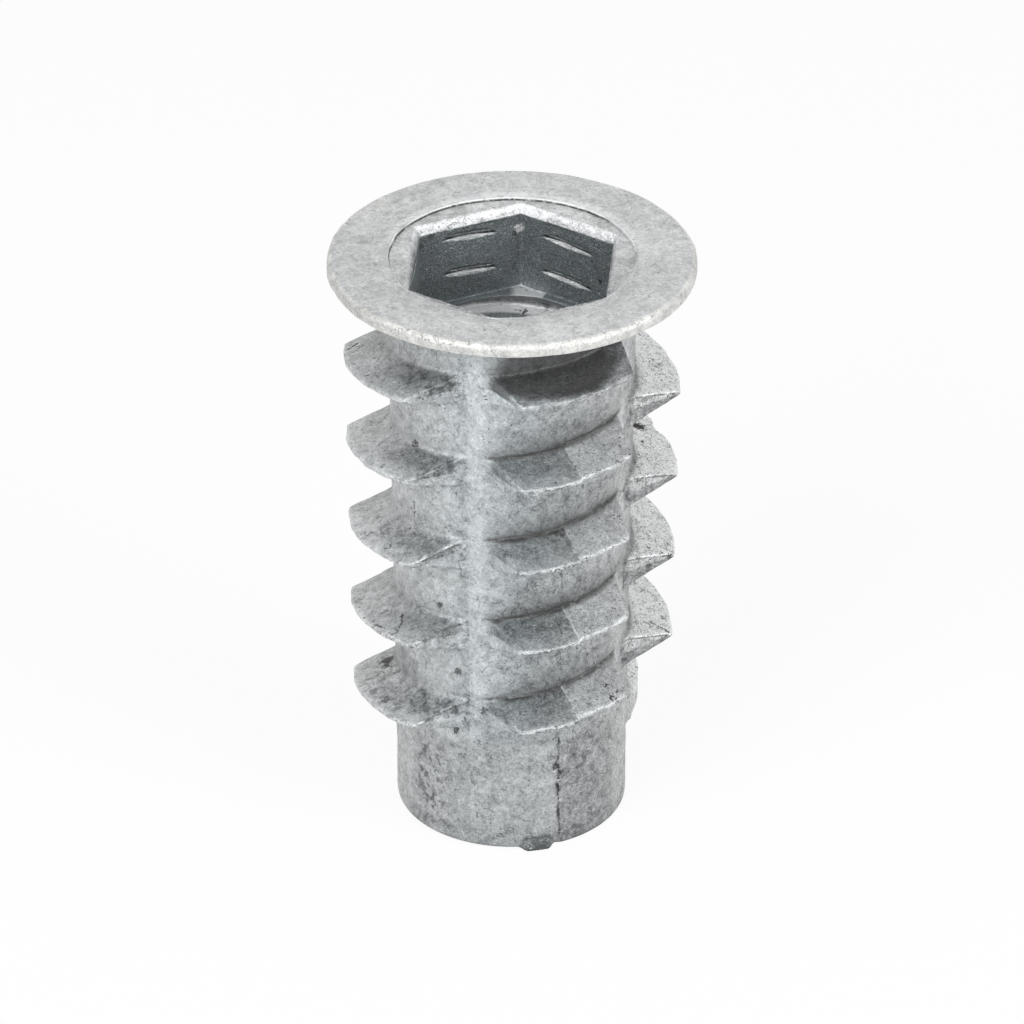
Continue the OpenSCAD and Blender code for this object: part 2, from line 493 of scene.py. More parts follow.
# Up the core, out along the coned underside, and round the rim
low_az = column_az(np.full(COLUMNS, THREAD_LOW_Z))
high_az = column_az(np.full(COLUMNS, THREAD_HIGH_Z))
core_fillet = ((0.0, -0.17), (0.005, -0.09), (0.03, -0.03), (0.09, 0.02))
rim_foot = ((0.008, 0.012), (0.0, 0.04), (0.0, 0.1), (0.0, 0.2))
rim_top = ((0.0, RIM_BEVEL - 0.01), (0.015, 0.14), (0.05, 0.08), (0.11, 0.03), (0.17, 0.008))
outline = [(CORE_TOP_R + out, CORE_TOP_Z + up) for out, up in core_fillet]
outline += [(mix(CORE_TOP_R, RIM_R, share), mix(CORE_TOP_Z, RIM_FOOT_Z, share))
            for share in (0.1, 0.25, 0.4, 0.55, 0.7, 0.85, 0.97)]
outline += [(RIM_R - back, RIM_FOOT_Z + up) for back, up in rim_foot]
outline += [(RIM_R - back, LENGTH - down) for back, down in rim_top]
for step, (r, z) in enumerate(outline):
    az = mix(high_az, EVEN_AZ, min(1, max(0, step - 2) / 8))
    x, y = xy(r, az)
    dents = np.minimum(0.010 * noise(x, y, z, 0.8) + 0.005 * noise(x, y, z, 0.3) - 0.010, 0)
    wave = 0.01 * noise(x, y, z, 1.7) * (r < 5)
    last = extend(last, on_rim(r, az) + dents * smoothstep(4.0, 5.9, r) + wave, az, z)

# Across the top, which has worn down into a dish at the front
worn_front = smoothstep(-0.1, 0.6, -np.sin(np.radians(EVEN_AZ)))
for r in (5.55, 5.3, 5.05, 4.8, 4.55, 4.35, 4.18, 4.06, 4.0, 3.965):
    dish = (LENGTH - RECESS_Z) * worn_front * float(smoothstep(4.7, 3.95, r))
    dents = np.abs(0.007 * noise(*xy(r, EVEN_AZ), 3, 1.1))
    last = extend(last, on_rim(r, EVEN_AZ), EVEN_AZ, LENGTH - 0.006 - dents - dish)

# Over the recess's edge
for out, z in ((0.025, LENGTH - 0.012), (0.006, LENGTH - 0.03), (-0.006, RECESS_Z + 0.03),
               (-0.016, RECESS_Z + 0.004), (-0.04, RECESS_Z)):
    r = RECESS_R + out
    uneven = 0.012 * noise(*xy(RECESS_R, EVEN_AZ), 0, 0.5)
    last = extend(last, r + uneven, EVEN_AZ, mix(z, RECESS_Z + 0.02 * (r - RECESS_R), worn_front))

# Down the socket's chamfer, which is blunted at its front corner
blunt = 0.2 * bell(apart(HEX_AZ, HEX_CORNER_AZ + 240), 13)
for out, down in ((0.07, 0.0), (0.035, 0.004), (0.0, 0.022), (-0.06, 0.1), (-0.11, 0.2), (-0.145, 0.29),
                  (-0.158, HEX_CHAMFER + 0.008)):
    r = soft_min(hexagon_r(HEX_AZ, HEX_HALF_AF + HEX_EDGE + out), RECESS_R - 0.05 + out / 2 - blunt, 0.04)
    z = RECESS_Z - mix(HEX_FRONT_WEAR * worn_front, HEX_CHAMFER, down / HEX_CHAMFER)
    battered = 0.02 * noise(*xy(r, HEX_AZ), z, 0.35) * float(bell(out + 0.06, 0.05))
    last = extend(last, r + battered, HEX_AZ, z)

# Down the flats and across the socket's floor
mark_rows = both_ways((0.02, 0.05, 0.08, 0.105, 0.132, 0.148, 0.18, 0.26, 0.36, 0.48), TAP_PITCH)
top, bottom = helical_grid(
    HEX_FLOOR_Z + 0.03, HEX_TOP_Z - 0.03, tap_z, TAP_PITCH, mark_rows, lambda z: HEX_AZ, socket_wall_r, True)
join(last, top)
last = bottom
wall = socket_wall_r(HEX_AZ, HEX_FLOOR_Z + 0.03)
mouth = np.minimum(bore_wall_r(HEX_AZ, HEX_FLOOR_Z), wall - 0.06)
for share, up in ((0.03, 0.008), (0.1, 0.0), (0.4, 0.0), (0.7, 0.0), (0.95, 0.0)):
    last = extend(last, mix(wall, mouth, share), mix(HEX_AZ, EVEN_AZ, share), HEX_FLOOR_Z + up)

# Down the bore, which has a quarter as many columns
tooth_rows = (*(-TAP_FLAT - np.array((0.4, 0.19, 0.14, 0.03, 0.0))), TAP_FLAT, TAP_FLAT + 0.4, TAP_PITCH / 2)
top, bottom = helical_grid(
    0.02, HEX_FLOOR_Z - 0.02, tap_z, TAP_PITCH, np.array(tooth_rows), lambda z: BORE_AZ, bore_wall_r, True)
one, two, three, four = last.reshape(-1, 4).T
next_one, next_top = np.roll(one, -1), np.roll(top, -1)
add_triangles((one, two, top), (two, three, top), (three, next_top, top),
              (three, four, next_top), (four, next_one, next_top))

# Out over the end face
inner = extend(bottom, np.maximum(bore_wall_r(BORE_AZ, 0.0), 3.0), BORE_AZ, 0.0)
last = ring(3.16, EVEN_AZ, 0.0)
one, two, three, four = last.reshape(-1, 4).T
next_one, next_inner = np.roll(one, -1), np.roll(inner, -1)
add_triangles((inner, two, one), (inner, three, two), (inner, next_inner, three),
              (next_inner, four, three), (next_inner, next_one, four))
for r in (3.3, 3.42):
    last = extend(last, r, EVEN_AZ, 0.0)

# Round the pilot's edge. The nub has a square edge in place of a round one.
ROUND_STEPS = 8
for step in range(1, ROUND_STEPS + 1):
    share = step / ROUND_STEPS
    az = mix(EVEN_AZ, low_az, share)
    turned = math.radians(90 * share)
    edge_r = mix(LEFT_EDGE_R, RIGHT_EDGE_R, smoothstep(-0.04, 0.04, np.sin(np.radians(az - FIRST_AZ))))
    round_r = PILOT_R - edge_r * (1 - math.sin(turned))
    round_z = edge_r * (1 - math.cos(turned))
    square_r = PILOT_R - edge_r * max(0, 1 - 2 * share) + NUB_OUT * min(1, 2 * share)
    square_z = edge_r * max(0, 2 * share - 1)
    nub = nub_share(az)
    last = extend(last, mix(round_r, square_r, nub), az, mix(round_z, square_z, nub))

# Up to where the body began
for z in np.linspace(LEFT_EDGE_R, THREAD_LOW_Z, 22)[1:-1]:
    last = extend(last, outside_r(low_az, z + 0 * low_az), low_az, z)
join(last, first_ring)

# Points that coincide become one, and faces that this leaves with under three corners go.
points = np.concatenate(points)
_, kept_point, same = np.unique(np.round(points, 6), axis=0, return_index=True, return_inverse=True)
points = points[kept_point]
same = same.ravel()
clean = []
for face in faces:
    corners = [same[i] for i in face]
    corners = [c for i, c in enumerate(corners) if c != corners[i - 1]]
    if len(set(corners)) > 2:
        clean.append([int(c) for c in corners])

mesh = bpy.data.meshes.new("insert_casting")
mesh.from_pydata((points * MM).tolist(), [], clean)
mesh.shade_smooth()
insert = bpy.data.objects.new("insert_casting", mesh)
bpy.context.collection.objects.link(insert)


# ---------------------------------------------------------------- how sharply the surface bends

edges = np.empty(len(mesh.edges) * 2, int)
mesh.edges.foreach_get("vertices", edges)
edges = edges.reshape(-1, 2)


def spread(values, times):
    """Averages a value per point with its neighbours."""
    for _ in range(times):
        total, count = values.copy(), np.ones(len(values))
        for a, b in ((0, 1), (1, 0)):
            np.add.at(total, edges[:, a], values[edges[:, b]])
            np.add.at(count, edges[:, a], 1)
        values = total / count
    return values


def bending():
    """How far the neighbours of each point lie behind it, as a slope. Hollows are below 0."""
    normals = np.empty(len(points) * 3)
    mesh.vertex_normals.foreach_get("vector", normals)
    normals = normals.reshape(-1, 3)
    along = points[edges[:, 1]] - points[edges[:, 0]]
    length = np.maximum(np.linalg.norm(along, axis=1), 1e-6)
    total = np.zeros(len(points))
    count = np.full(len(points), 1e-6)
    for end, sign in ((0, -1), (1, 1)):
        slope = sign * np.einsum("ij,ij->i", along, normals[edges[:, end]]) / length
        np.add.at(total, edges[:, end], slope)
        np.add.at(count, edges[:, end], 1)
    return spread(total / count, 2)


# ---------------------------------------------------------------- where each point lies

# On the thread: its quarter and segment, and its share of the thread's height
x, y, z = points.T
r = np.hypot(x, y)
az = FIRST_QUARTER_AZ - 45 + (np.degrees(np.arctan2(y, x)) - FIRST_QUARTER_AZ + 45) % 360
quarter, offset, index, crest_z, exists = on_thread(az, z)
at_left, at_front, at_right = (quarter == side for side in (LEFT, FRONT, RIGHT))
by_parting_line = quarter % 2 == 0
slide = which_slide(quarter, offset)
core = core_r(z)
share = (r - core) / (crest_r(crest_z) - core)
root_half, crest_half = laterals(quarter)
past_end = r * np.sin(np.radians(np.abs(offset))) - mix(root_half, crest_half, np.clip(share, 0, 1))
above_root = z - crest_z - ROOT_HALF - die_step(index) * slide * (index > 0)

# Parts of a segment, and the skin between them
outside = (z < CORE_TOP_Z) & (r > np.where(z > HEX_FLOOR_Z, SOCKET_R, WIDEST_BORE_R))
on_pilot = smoothstep(4.3, 3.6, z) * outside
standing = smoothstep(0.03, 0.12, share)
bare = outside * (1 - standing)
there = exists & outside & (kept_height(index, offset) > 0.15)
within = there * (1 - smoothstep(-0.05, 0.2, past_end))
flank = within * standing * smoothstep(-0.02, 0.04, z - crest_z)
under_crest = within * (share > 0.8) * smoothstep(0.0, 0.06, crest_z - z)
end_plane = there * window(past_end, -0.1, -0.03, 0.1, 0.25) * (np.abs(z - crest_z) < ROOT_HALF)
end_face = there * standing * smoothstep(-0.11, -0.04, past_end)
right_end = end_face * at_front * (offset > 0)
by_land = at_left * smoothstep(38, 42, offset)

# The first front segment, up to where light reaches it under the flange
reach = np.interp(az, (262, 277, 300, 314), (0.5, 0.78, 0.98, 0.6))
unlit = (index == 0) * (1 - smoothstep(reach - 0.15, reach + 0.1, share))

# Upper edges of the ends that face the front: the left segments' from the third down, and the right ones'
flank_share = np.clip((ROOT_HALF - (z - crest_z)) / (ROOT_HALF - CREST_HALF), 0, 1)
near_end = there * (z > crest_z) * (np.abs(past_end) < 0.1) * smoothstep(0.02, 0.06, share) * (
    at_left * (offset > 0) * (index > 8) + at_right * (offset < 0))
below_rim = flank_share - share - 0.13 * at_left
highlight_breaks = np.where(at_left, smoothstep(-0.5, 0.1, noise(x, y, z, 0.2)), 1)
# end_rim carries a painted highlight along these edges, broken up on the left, and under_rim a line of
# painted shade just below
end_rim = near_end * bell(below_rim, 0.04) * highlight_breaks
under_rim = near_end * bell(below_rim - 0.1 - 0.05 * at_left, 0.04) * (share > 0.02)

# Flange
rim_side = (r > 5.5) & (z > RIM_FOOT_Z) & (z < LENGTH - 0.02)
recess = (r > 3.3) & (r < RECESS_R - 0.03) & (z > RECESS_Z - 0.15) & (z < RECESS_Z + 0.001) & (y > 0)
recess_foot = (np.abs(r - RECESS_R) < 0.035) & (z > RECESS_Z + 0.002) & (z < LENGTH - 0.035)
recess_lip = (np.abs(r - RECESS_R - 0.015) < 0.035) & (z > LENGTH - 0.034) & (z < LENGTH - 0.008)

# Socket and bore. The ledge is the upper side of the thread's first turn.
up = above_tap(az, z)
chamfer = (r < 3.9) & (z > HEX_TOP_Z - 0.015) & (z < RECESS_Z - 0.01)
walls = (r < SOCKET_R) & (z > HEX_FLOOR_Z + 0.012) & (z < HEX_TOP_Z + 0.02)
marked = walls * smoothstep(0.01, 0.04, r - hexagon_r(az, HEX_HALF_AF))
on_floor = (r < SOCKET_R) & (np.abs(z - HEX_FLOOR_Z) <= 0.012)
in_bore = (r < WIDEST_BORE_R - 0.1) & (z > 0.3) & (z < HEX_FLOOR_Z - 0.012)
ledge = in_bore * smoothstep(2.93, 3.0, r) * (z > FIRST_TURN_Z) * (z < HEX_FLOOR_Z - 0.25) * (
    up < 1.2 * TAP_FLAT)


# ---------------------------------------------------------------- marks for the material

def painted_shade():
    """Painted shade in the corners over the segments, the flange's painted shadow on the first front segment,
    and painted shade down the bore.
    """
    up_core = np.maximum(above_root, 0)
    wide = np.where(above_root > 0, 0.6 * np.exp(-up_core / 0.3) + 0.4 * np.exp(-up_core / 0.9),
                    bell(above_root, 0.08))
    close = np.where(above_root > -0.01, 0.7 * np.exp(-up_core / 0.2) + 0.45 * np.exp(-up_core / 0.7),
                     bell(above_root + 0.01, 0.03))
    at_sides = wide * np.choose(quarter, (0.0, 0.2, 0.0, 0.3))
    at_seams = close * by_parting_line * mix(0.7, 1.3, bell(apart(az, 290), 15)) * (1 - 0.45 * (index == 16))
    first_left = 0.2 * at_left * (index == 1) * flank * smoothstep(0.6, 0.2, share)
    shade = at_front * unlit * outside * (z > crest_z)
    shade = shade * smoothstep(251, 264, az - 14 * up_core) * smoothstep(320, 312, az)
    return np.maximum(within * (at_sides + at_seams + first_left), 0.95 * within * shade) + (
        0.35 * in_bore * (z < FIRST_TURN_Z))


def dark_lines():
    """Thin dark lines of painted shade along roots, under edges and crests, over the marks of the tap, high
    in the bore's grooves and at the recess's foot; and a blotchy dark line under the chamfer on the left.
    """
    roots = within * bell(above_root - 0.015, 0.04) * np.choose(quarter, (1.0, 0.0, 1.0, 0.4)) * (index > 0)
    tooth_tips = in_bore * (r > TAP_R - 0.01) * (z > 16) * (up > 0)
    reached = walls * smoothstep(0.0, 0.05, TAP_R - hexagon_r(az, HEX_HALF_AF))
    over_marks = reached * window(up, 0.0, 0.03, 0.11, 0.14)
    under_chamfer = walls * smoothstep(HEX_TOP_Z - 0.3, HEX_TOP_Z - 0.05, z) * window(az, 95, 105, 138, 145)
    under_chamfer = under_chamfer * smoothstep(-0.3, 0.6, noise(x, y, z, 0.3))
    round_recess = recess_foot * smoothstep(-0.35, 0.1, y / r) * smoothstep(25, 42, np.abs(apart(az, 5)))
    return np.maximum.reduce((
        roots, 0.9 * under_rim, 0.7 * under_crest * at_right, 0.75 * tooth_tips, over_marks,
        under_chamfer, round_recess))


def crest_highlight_and_shade():
    """Broken bright and dark edges along the crests, fainter on the left: a painted highlight and painted
    shade.
    """
    return 0.8 * under_crest * (quarter != RIGHT) * (
        np.where(at_left, 0.15 + 0.3 * smoothstep(0, 15, offset), 1.0))


# Tones are how much lighter or darker each part of the skin is painted: mostly painted light and shade, with
# some of the skin's own variation.

def core_tone():
    """The core between the segments, and the lands beside the front parting line, with painted light and
    shade: lighter on the lands, on the left and at the right, a little darker at the front.
    """
    land = 0.12 * smoothstep(0.0, 0.3, past_end) * (np.abs(apart(az, 250)) < 40) * (1 - 0.6 * on_pilot)
    left_land = 0.07 * bell(apart(az, 250), 8) + 0.13 * bell(apart(az, 260), 6) * (1 - flank)
    left_land = left_land * smoothstep(4.5, 6.5, z)
    front = -0.04 * window(az, 262, 275, 300, 320)
    right_land = 0.12 * window(az, 322, 330, 344, 352)
    root = within * smoothstep(0.05, -0.1, above_root) * (z > crest_z)
    low_left = (index == 17) * smoothstep(222, 214, az)
    left = 0.2 * at_left * smoothstep(249, 238, az) * (1 - root) * (1 - 0.8 * low_left)
    return outside * (land + left_land) - 0.14 * bare + bare * (1 - on_pilot) * (front + right_land + left)


def pilot_tone():
    """The pilot: darker right of its seam and at its foot, and paler towards both sides."""
    by_seam = -0.12 * window(az, 290, 298, 320, 340)
    sides = 0.21 * smoothstep(325, 342, az) + 0.13 * smoothstep(222, 206, az)
    foot = 0.08 * smoothstep(0.9, 0.4, z) + 0.2 * smoothstep(0.14, 0.03, z)
    nub = 0.45 * (z < 0.45) * nub_share(az) * (r > PILOT_R - 0.2)
    return on_pilot * (by_seam + sides) - outside * foot - nub


def flank_tone():
    """Upper flanks and crests of the segments: painted light and shade by side, the flange's painted shadow
    on the first front segment, and lighter or darker by the slide of the die that made them.
    """
    deep_left = (0.2 + 0.1 * (index < 8)) * smoothstep(0, 20, offset) * (1 - smoothstep(0.4, 0.9, share))
    left = at_left * (0.1 * smoothstep(0.35, 0.9, share) * (index > 1) - deep_left)
    left_slide = -0.28 * (slide < 0) * (1 - 0.7 * smoothstep(0.45, 0.9, share)) * (index > 0)
    right_slide = (slide > 0) * (
        0.04 + 0.05 * (index > 10) + 0.22 * at_front * smoothstep(-0.12, -0.03, past_end))
    own = -np.choose(quarter, (0.06, 0.05, 0.06, -0.40))
    side_crests = 0.12 * (at_left | at_right) * smoothstep(0.9, 0.98, share)
    first_crest = -0.18 * (index == 0) * (share > 0.7)
    # The first front segment's flank takes the flange's painted shadow where it is unlit
    on_flanks = own + left + left_slide + right_slide - 0.35 * unlit
    return flank * on_flanks + there * (side_crests + first_crest)


def end_tone():
    """End planes of the segments: painted highlights along the edges over some of them and on the first
    segment's left end, and painted shade on the side segments' planes and the front segments' right ends.
    """
    plane = end_plane * (0.12 * (index == 0) * (offset < 0) - 0.12 * (at_left | at_right) * (1 - by_land))
    right_face = 0.1 * end_face * at_right * (offset < 0) * (1 - end_rim)
    return plane + (0.4 + 0.35 * at_left) * end_rim - 0.34 * right_end - right_face


def flange_tone():
    """The flange: painted shade below it, and painted highlights that make its side and top paler, and its
    recess and the ring round it at the back paler still.
    """
    below = -0.10 * outside * smoothstep(17.6, 18.6, z)
    top = 0.08 * (z > LENGTH - 0.05) * (r > 4) * (1 - 0.8 * bell(apart(az, 180), 40))
    round_recess = (z > LENGTH - 0.04) * (r > RECESS_R) * smoothstep(4.35, 4.12, r) + recess_lip
    at_back = smoothstep(0.0, 0.4, y / r)
    return below + 0.1 * rim_side + top + recess * (0.13 + 0.12 * (r > RECESS_R - 0.06)) + (
        0.2 * round_recess * at_back)


def socket_tone():
    """Lighter where the tap has cut, on the floor, on the thread's first turn and on the chamfer: partly the
    cut metal's own brightness, partly painted light in the dim socket, most at the back of the chamfer.
    """
    far_chamfer = mix(-0.05, 0.22, smoothstep(0.1, 0.5, y / r)) + 0.2 * smoothstep(80, 70, az)
    return chamfer * far_chamfer + 0.55 * marked * smoothstep(0.0, -0.03, up) + 0.6 * on_floor + (
        ledge * (0.9 - smoothstep(80, 69, az)))


def hollow():
    """Painted shade deep in the socket and the bore, which leaves out what the tap has cut bright and the lit
    part of the floor.
    """
    cut = marked * window(up, -0.11, -0.08, -0.03, 0.0)
    lit_floor = window(az, 55, 66, 87, 92)
    return (z > 0.3) * (walls * (1 - cut) + on_floor * (1 - lit_floor)) + in_bore * (1 - ledge)


def speckled():
    """Where specks, hairs and curls show: most on the right, low at the front and on the pilot's right."""
    own = np.choose(quarter, (0.4, 0.35, 0.35, 1.0)) * np.maximum(standing * exists, 0.5)
    right_halves = 0.35 * (slide > 0) * standing
    pilot_right = 0.5 * (z < 4) * smoothstep(290, 300, az)
    low_front = 0.5 * bell(apart(az, 290), 22) * smoothstep(9.5, 8.5, z) * (z > 4)
    return outside * (own + right_halves + pilot_right + low_front)


def stained():
    """Where dark stains show."""
    pilot = 1.5 * bell(apart(az, 226), 9) * bell(z - 2.1, 1.3)
    pilot += 0.7 * bell(apart(az, 308), 9) * bell(z - 3.6, 0.8)
    flanks = np.choose(quarter, (0.2, 0.35 + 0.4 * (index == 17), 0.2, 0.2))
    low_chamfer = chamfer * smoothstep(RECESS_Z - 0.08, RECESS_Z - 0.25, z) * smoothstep(80, 90, az)
    ends = np.choose(quarter, (0.0, 0.4, 0.0, 0.6))
    return on_pilot * (pilot + 0.3) + flank * flanks + low_chamfer + 0.5 * recess + end_plane * ends + (
        0.35 * bare * (z > 4.3))


def paint(name, values):
    """Stores a value per point that the material reads."""
    mesh.attributes.new(name, "FLOAT", "POINT").data.foreach_set("value", values.astype(float))


# Painted highlights on convex edges and painted shade in hollows, taken off at the front segments' right ends
# and beside the left lands
paint("edge", np.clip(bending() * 4, -1, 1) * (1 - 0.8 * np.maximum(right_end, by_land)))
# Painted shade in the corners over the segments, under the flange and down the bore
paint("painted_shade", np.clip(painted_shade(), 0, 1))
paint("line", np.clip(dark_lines(), 0, 1))
paint("edging", np.clip(crest_highlight_and_shade(), 0, 1))
paint("tone", core_tone() + pilot_tone() + flank_tone() + end_tone() + flange_tone() + socket_tone())
paint("hollow", np.clip(hollow(), 0, 1))
paint("speckled", np.clip(speckled(), 0, 1))
paint("stained", np.clip(stained(), 0, 1))
paint("tint", np.clip(outside * bell(apart(az, 262), 38) * (1 - 0.6 * on_pilot) - rim_side * 0.7, -1, 1))

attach(insert, "root")
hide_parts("insert")


# ---------------------------------------------------------------- material

class Nodes:
    """Short calls for making and linking shader nodes."""

    def __init__(self, tree):
        self.tree = tree
        tree.nodes.clear()

    def new(self, kind, inputs=None, **settings):
        node = self.tree.nodes.new(kind)
        for name, value in settings.items():
            setattr(node, name, value)
        for socket, value in (inputs or {}).items():
            self.feed(node.inputs[socket], value)
        return node

    def feed(self, socket, value):
        """Links an output to a socket, or sets the socket to a constant."""
        if isinstance(value, bpy.types.NodeSocket):
            self.tree.links.new(value, socket)
        else:
            socket.default_value = value

    def math(self, operation, a, b=0.0):
        return self.new("ShaderNodeMath", {0: a, 1: b}, operation=operation).outputs[0]

    def times(self, a, b):
        return self.math("MULTIPLY", a, b)

    def vector(self, operation, a, b):
        second = "Scale" if operation == "SCALE" else 1
        node = self.new("ShaderNodeVectorMath", {0: a, second: b}, operation=operation)
        return node.outputs["Value" if operation in ("DISTANCE", "DOT_PRODUCT") else "Vector"]

    def painted(self, name):
        """A value that paint() stored."""
        return self.new("ShaderNodeAttribute", attribute_name=name).outputs["Fac"]

    def noise(self, where, size, detail=2.0, roughness=0.5, distortion=0.0):
        """Noise whose features are about size millimetres."""
        return self.new("ShaderNodeTexNoise", {
            "Vector": where, "Scale": 1 / (size * MM), "Detail": detail, "Roughness": roughness,
            "Distortion": distortion}).outputs["Fac"]

    def pattern(self, where, size, detail, roughness, distortion=0.0):
        """Noise from -1 to 1."""
        return self.range(self.noise(where, size, detail, roughness, distortion), 0.3, 0.7, -1, 1)

    def push(self, where, size, detail):
        """A vector that wanders from place to place."""
        wander = self.new("ShaderNodeTexNoise", {"Vector": where, "Scale": 1 / (size * MM), "Detail": detail})
        return self.vector("SUBTRACT", wander.outputs["Color"], (0.5, 0.5, 0.5))

    def moved(self, where, push, distance):
        return self.vector("ADD", where, self.vector("SCALE", push, distance * MM))

    def cracks(self, where, size, width):
        """Lines about width wide between cells of about size, both in millimetres."""
        ragged = self.moved(where, self.push(where, 0.4 * size, 2.0), size)
        cells = self.new("ShaderNodeTexVoronoi", {"Vector": ragged, "Scale": 1 / (size * MM)},
                         feature="DISTANCE_TO_EDGE")
        return self.range(cells.outputs["Distance"], 0.0, width / size, 1.0, 0.0)

    def range(self, value, low, high, to_low=0.0, to_high=1.0):
        return self.new("ShaderNodeMapRange", {
            "Value": value, "From Min": low, "From Max": high,
            "To Min": to_low, "To Max": to_high}).outputs["Result"]

    def blend(self, factor, a, b, mode="MIX"):
        node = self.new("ShaderNodeMix", data_type="RGBA", blend_type=mode)
        for socket, value in ((0, factor), (6, a), (7, b)):
            self.feed(node.inputs[socket], value)
        return node.outputs[2]


def grey(level, blue=1.03):
    """A grey that leans towards blue and a little towards green."""
    return (level, level * (1 + 0.7 * (blue - 1)), level * blue, 1.0)


# Single pits and stains: radius, azimuth and height of each, its size, and how dark it is.
# Below 0 it is bright.
MARKS = (
    # Left-hand segments
    (4.04, 180.8, 4.96, 0.3, 0.9), (4.12, 185.0, 5.0, 0.2, 0.85), (3.9, 188.5, 5.02, 0.14, 0.7),
    (3.86, 196.7, 5.16, 0.16, 0.5), (4.87, 202.6, 4.87, 0.24, 0.5), (4.82, 211.7, 4.95, 0.17, 0.7),
    (4.45, 231.1, 5.25, 0.22, 0.5), (4.87, 217.7, 11.05, 0.1, 0.8), (3.88, 185.9, 11.76, 0.16, 0.95),
    (3.92, 219.1, 14.52, 0.16, 0.75), (4.43, 218.9, 14.3, 0.09, 0.7), (4.87, 224.0, 14.2, 0.09, 0.6),
    (5.11, 216.4, 14.04, 0.09, 0.6),
    # Core and pilot
    (3.84, 233.4, 8.91, 0.14, 0.75), (3.93, 236.4, 7.75, 0.09, 0.9), (3.79, 243.0, 6.57, 0.18, 0.75),
    (3.78, 256.5, 5.27, 0.14, 0.8), (3.85, 246.8, 4.83, 0.12, 0.75), (3.76, 241.6, 4.42, 0.15, 0.85),
    (3.76, 241.6, 4.25, 0.14, 0.85), (3.77, 244.3, 3.41, 0.1, 0.6), (3.77, 254.4, 4.06, 0.1, 0.6),
    (3.74, 264.4, 0.5, 0.09, 0.8), (3.72, 293.2, 3.0, 0.14, 0.9), (3.72, 294.8, 2.72, 0.12, 0.9),
    # Front and right-hand segments
    (3.9, 277.2, 13.49, 0.09, -0.9), (3.9, 281.5, 13.47, 0.09, -0.9), (4.53, 312.4, 6.06, 0.13, 0.9),
    (5.0, 310.8, 5.88, 0.14, 0.9), (5.18, 311.5, 5.72, 0.1, 0.8), (4.9, 314.0, 5.92, 0.1, 0.8),
    (4.7, 308.5, 5.98, 0.08, 0.8), (5.0, 5.2, 6.27, 0.09, 0.8), (4.45, 26.4, 12.7, 0.24, 1.0),
    (4.6, 25.2, 12.62, 0.26, 1.0), (4.5, 29.5, 12.74, 0.2, 1.0),
    # Socket and bore
    (3.05, 82.6, 16.33, 0.12, 0.95), (3.56, 86.5, 19.08, 0.18, -1.0), (3.48, 88.0, 18.93, 0.12, 0.9),
    (3.37, 33.0, 18.07, 0.14, 0.85), (3.55, 145.0, 19.2, 0.11, 0.9), (3.5, 147.5, 18.9, 0.11, 0.9),
)
# Cracks as lines through points, each with its width
CRACKS = (
    (0.05, ((4.28, 214.5, 8.17), (4.57, 219.6, 8.15), (5.0, 222.7, 8.03), (5.14, 221.3, 7.98))),
    (0.045, ((5.09, 211.0, 7.87), (5.02, 215.8, 7.95))),
    (0.06, ((5.26, 184.0, 16.76), (5.1, 182.8, 16.8), (4.91, 181.0, 16.86))),
    (0.035, ((3.88, 216.5, 12.3), (3.88, 217.2, 11.9), (3.88, 216.3, 11.6))),
    (0.05, ((4.5, 0.5, 6.41), (4.72, 359.2, 6.33), (4.91, 358.3, 6.26), (5.13, 356.8, 6.17))),
    (0.045, ((3.73, 294.2, 4.1), (3.71, 294.9, 3.0), (3.71, 294.2, 1.9), (3.73, 294.7, 0.4))),
    (0.03, ((3.86, 294.6, 10.5), (3.84, 294.4, 9.2))),
    (0.035, ((3.81, 294.6, 7.5), (3.8, 294.4, 6.2))),
)


def single_marks(n, place):
    """Where the single marks and cracks are, as two values: the dark ones and the bright ones."""
    push = n.push(place, 0.09, 3.0)
    ragged = n.moved(place, push, 0.5)
    shaken = n.moved(place, push, 0.2)
    dark, bright = 0.0, 0.0
    for mark_r, mark_az, mark_z, size, strength in MARKS:
        away = n.vector("DISTANCE", ragged, tuple(xyz(mark_r, mark_az, mark_z) * MM))
        spot = n.range(away, 0.6 * size * MM, size * MM, abs(strength), 0.0)
        if strength > 0:
            dark = n.math("MAXIMUM", spot, dark)
        else:
            bright = n.math("MAXIMUM", spot, bright)
    for width, bends in CRACKS:
        bends = [Vector(xyz(*bend_at) * MM) for bend_at in bends]
        for crack_from, crack_to in zip(bends, bends[1:]):
            run = crack_to - crack_from
            out = n.vector("SUBTRACT", shaken, crack_from)
            reached = n.range(n.vector("DOT_PRODUCT", out, run), 0.0, run.length_squared)
            away = n.vector("DISTANCE", out, n.vector("SCALE", tuple(run), reached))
            dark = n.math("MAXIMUM", n.range(away, 0.3 * width * MM, width * MM, 0.9, 0.0), dark)
    return dark, bright


